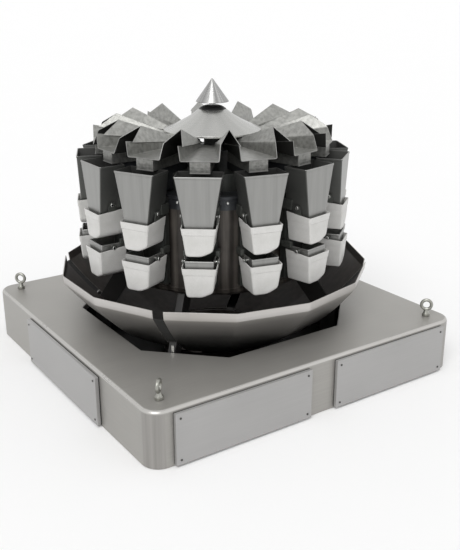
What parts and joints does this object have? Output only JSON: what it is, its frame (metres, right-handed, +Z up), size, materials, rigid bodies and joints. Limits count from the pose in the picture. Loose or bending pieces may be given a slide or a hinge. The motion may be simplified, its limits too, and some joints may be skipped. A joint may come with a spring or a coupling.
{
  "type": "multihead weigher",
  "caption": "Rotary multihead weigher: a ring of feed chutes and hinged hopper gates round a drive body, above a collecting bowl on a square base.",
  "frame": {"origin": "on the floor, at the centre of the square base", "axes": "+Z up along the machine's axis, -Y to the front of the base, head 1 towards +X"},
  "size_m": [1.2296, 1.2296, 0.977],
  "materials": {
    "brushed_steel": "brushed",
    "bright_steel": "fine brushed",
    "dark_steel": "satin",
    "white_hopper": "dimpled"
  },
  "bodies": {
    "machine": {"base_housing": "brushed_steel", "lifting_eye_front_left": "bright_steel", "lifting_eye_front_right": "bright_steel", "lifting_eye_rear_right": "bright_steel", "lifting_eye_rear_left": "bright_steel", "discharge_funnel": "dark_steel", "bowl_segment_rear": "brushed_steel", "bowl_segment_left": "brushed_steel", "bowl_segment_front": "brushed_steel", "bowl_segment_right": "brushed_steel", "centre_body": "dark_steel", "feeder_pans": "bright_steel", "dispersion_cone": "bright_steel", "top_cone": "bright_steel", "weigh_head_01": "bright_steel", "weigh_head_02": "bright_steel", "weigh_head_03": "bright_steel", "weigh_head_04": "bright_steel", "weigh_head_05": "bright_steel", "weigh_head_06": "bright_steel", "weigh_head_07": "bright_steel", "weigh_head_08": "bright_steel", "weigh_head_09": "bright_steel", "weigh_head_10": "bright_steel", "weigh_head_11": "bright_steel", "weigh_head_12": "bright_steel", "weigh_head_13": "bright_steel", "weigh_head_14": "bright_steel"},
    "pool_gate_01": {"pool_gate_01": "white_hopper"},
    "pool_gate_02": {"pool_gate_02": "white_hopper"},
    "pool_gate_03": {"pool_gate_03": "white_hopper"},
    "pool_gate_04": {"pool_gate_04": "white_hopper"},
    "pool_gate_05": {"pool_gate_05": "white_hopper"},
    "pool_gate_06": {"pool_gate_06": "white_hopper"},
    "pool_gate_07": {"pool_gate_07": "white_hopper"},
    "pool_gate_08": {"pool_gate_08": "white_hopper"},
    "pool_gate_09": {"pool_gate_09": "white_hopper"},
    "pool_gate_10": {"pool_gate_10": "white_hopper"},
    "pool_gate_11": {"pool_gate_11": "white_hopper"},
    "pool_gate_12": {"pool_gate_12": "white_hopper"},
    "pool_gate_13": {"pool_gate_13": "white_hopper"},
    "pool_gate_14": {"pool_gate_14": "white_hopper"},
    "weigh_gate_01": {"weigh_gate_01": "white_hopper"},
    "weigh_gate_02": {"weigh_gate_02": "white_hopper"},
    "weigh_gate_03": {"weigh_gate_03": "white_hopper"},
    "weigh_gate_04": {"weigh_gate_04": "white_hopper"},
    "weigh_gate_05": {"weigh_gate_05": "white_hopper"},
    "weigh_gate_06": {"weigh_gate_06": "white_hopper"},
    "weigh_gate_07": {"weigh_gate_07": "white_hopper"},
    "weigh_gate_08": {"weigh_gate_08": "white_hopper"},
    "weigh_gate_09": {"weigh_gate_09": "white_hopper"},
    "weigh_gate_10": {"weigh_gate_10": "white_hopper"},
    "weigh_gate_11": {"weigh_gate_11": "white_hopper"},
    "weigh_gate_12": {"weigh_gate_12": "white_hopper"},
    "weigh_gate_13": {"weigh_gate_13": "white_hopper"},
    "weigh_gate_14": {"weigh_gate_14": "white_hopper"}
  },
  "joints": [
    {"name": "pool_gate_01_hinge", "type": "hinge", "parent": "machine", "child": "pool_gate_01", "pos_m": [0.415, 0, 0.618], "axis": [0, -1, 0], "range_deg": [0, 40]},
    {"name": "pool_gate_02_hinge", "type": "hinge", "parent": "machine", "child": "pool_gate_02", "pos_m": [0.3739, 0.18006, 0.618], "axis": [0.4339, -0.901, 0], "range_deg": [0, 40]},
    {"name": "pool_gate_03_hinge", "type": "hinge", "parent": "machine", "child": "pool_gate_03", "pos_m": [0.25875, 0.32446, 0.618], "axis": [0.7818, -0.6235, 0], "range_deg": [0, 40]},
    {"name": "pool_gate_04_hinge", "type": "hinge", "parent": "machine", "child": "pool_gate_04", "pos_m": [0.09235, 0.40459, 0.618], "axis": [0.9749, -0.2225, 0], "range_deg": [0, 40]},
    {"name": "pool_gate_05_hinge", "type": "hinge", "parent": "machine", "child": "pool_gate_05", "pos_m": [-0.09235, 0.40459, 0.618], "axis": [0.9749, 0.2225, 0], "range_deg": [0, 40]},
    {"name": "pool_gate_06_hinge", "type": "hinge", "parent": "machine", "child": "pool_gate_06", "pos_m": [-0.25875, 0.32446, 0.618], "axis": [0.7818, 0.6235, 0], "range_deg": [0, 40]},
    {"name": "pool_gate_07_hinge", "type": "hinge", "parent": "machine", "child": "pool_gate_07", "pos_m": [-0.3739, 0.18006, 0.618], "axis": [0.4339, 0.901, 0], "range_deg": [0, 40]},
    {"name": "pool_gate_08_hinge", "type": "hinge", "parent": "machine", "child": "pool_gate_08", "pos_m": [-0.415, 0, 0.618], "axis": [0, 1, 0], "range_deg": [0, 40]},
    {"name": "pool_gate_09_hinge", "type": "hinge", "parent": "machine", "child": "pool_gate_09", "pos_m": [-0.3739, -0.18006, 0.618], "axis": [-0.4339, 0.901, 0], "range_deg": [0, 40]},
    {"name": "pool_gate_10_hinge", "type": "hinge", "parent": "machine", "child": "pool_gate_10", "pos_m": [-0.25875, -0.32446, 0.618], "axis": [-0.7818, 0.6235, 0], "range_deg": [0, 40]},
    {"name": "pool_gate_11_hinge", "type": "hinge", "parent": "machine", "child": "pool_gate_11", "pos_m": [-0.09235, -0.40459, 0.618], "axis": [-0.9749, 0.2225, 0], "range_deg": [0, 40]},
    {"name": "pool_gate_12_hinge", "type": "hinge", "parent": "machine", "child": "pool_gate_12", "pos_m": [0.09235, -0.40459, 0.618], "axis": [-0.9749, -0.2225, 0], "range_deg": [0, 40]},
    {"name": "pool_gate_13_hinge", "type": "hinge", "parent": "machine", "child": "pool_gate_13", "pos_m": [0.25875, -0.32446, 0.618], "axis": [-0.7818, -0.6235, 0], "range_deg": [0, 40]},
    {"name": "pool_gate_14_hinge", "type": "hinge", "parent": "machine", "child": "pool_gate_14", "pos_m": [0.3739, -0.18006, 0.618], "axis": [-0.4339, -0.901, 0], "range_deg": [0, 40]},
    {"name": "weigh_gate_01_hinge", "type": "hinge", "parent": "machine", "child": "weigh_gate_01", "pos_m": [0.415, 0, 0.476], "axis": [0, -1, 0], "range_deg": [0, 35]},
    {"name": "weigh_gate_02_hinge", "type": "hinge", "parent": "machine", "child": "weigh_gate_02", "pos_m": [0.3739, 0.18006, 0.476], "axis": [0.4339, -0.901, 0], "range_deg": [0, 35]},
    {"name": "weigh_gate_03_hinge", "type": "hinge", "parent": "machine", "child": "weigh_gate_03", "pos_m": [0.25875, 0.32446, 0.476], "axis": [0.7818, -0.6235, 0], "range_deg": [0, 35]},
    {"name": "weigh_gate_04_hinge", "type": "hinge", "parent": "machine", "child": "weigh_gate_04", "pos_m": [0.09235, 0.40459, 0.476], "axis": [0.9749, -0.2225, 0], "range_deg": [0, 35]},
    {"name": "weigh_gate_05_hinge", "type": "hinge", "parent": "machine", "child": "weigh_gate_05", "pos_m": [-0.09235, 0.40459, 0.476], "axis": [0.9749, 0.2225, 0], "range_deg": [0, 35]},
    {"name": "weigh_gate_06_hinge", "type": "hinge", "parent": "machine", "child": "weigh_gate_06", "pos_m": [-0.25875, 0.32446, 0.476], "axis": [0.7818, 0.6235, 0], "range_deg": [0, 35]},
    {"name": "weigh_gate_07_hinge", "type": "hinge", "parent": "machine", "child": "weigh_gate_07", "pos_m": [-0.3739, 0.18006, 0.476], "axis": [0.4339, 0.901, 0], "range_deg": [0, 35]},
    {"name": "weigh_gate_08_hinge", "type": "hinge", "parent": "machine", "child": "weigh_gate_08", "pos_m": [-0.415, 0, 0.476], "axis": [0, 1, 0], "range_deg": [0, 35]},
    {"name": "weigh_gate_09_hinge", "type": "hinge", "parent": "machine", "child": "weigh_gate_09", "pos_m": [-0.3739, -0.18006, 0.476], "axis": [-0.4339, 0.901, 0], "range_deg": [0, 35]},
    {"name": "weigh_gate_10_hinge", "type": "hinge", "parent": "machine", "child": "weigh_gate_10", "pos_m": [-0.25875, -0.32446, 0.476], "axis": [-0.7818, 0.6235, 0], "range_deg": [0, 35]},
    {"name": "weigh_gate_11_hinge", "type": "hinge", "parent": "machine", "child": "weigh_gate_11", "pos_m": [-0.09235, -0.40459, 0.476], "axis": [-0.9749, 0.2225, 0], "range_deg": [0, 35]},
    {"name": "weigh_gate_12_hinge", "type": "hinge", "parent": "machine", "child": "weigh_gate_12", "pos_m": [0.09235, -0.40459, 0.476], "axis": [-0.9749, -0.2225, 0], "range_deg": [0, 35]},
    {"name": "weigh_gate_13_hinge", "type": "hinge", "parent": "machine", "child": "weigh_gate_13", "pos_m": [0.25875, -0.32446, 0.476], "axis": [-0.7818, -0.6235, 0], "range_deg": [0, 35]},
    {"name": "weigh_gate_14_hinge", "type": "hinge", "parent": "machine", "child": "weigh_gate_14", "pos_m": [0.3739, -0.18006, 0.476], "axis": [-0.4339, -0.901, 0], "range_deg": [0, 35]}
  ]
}
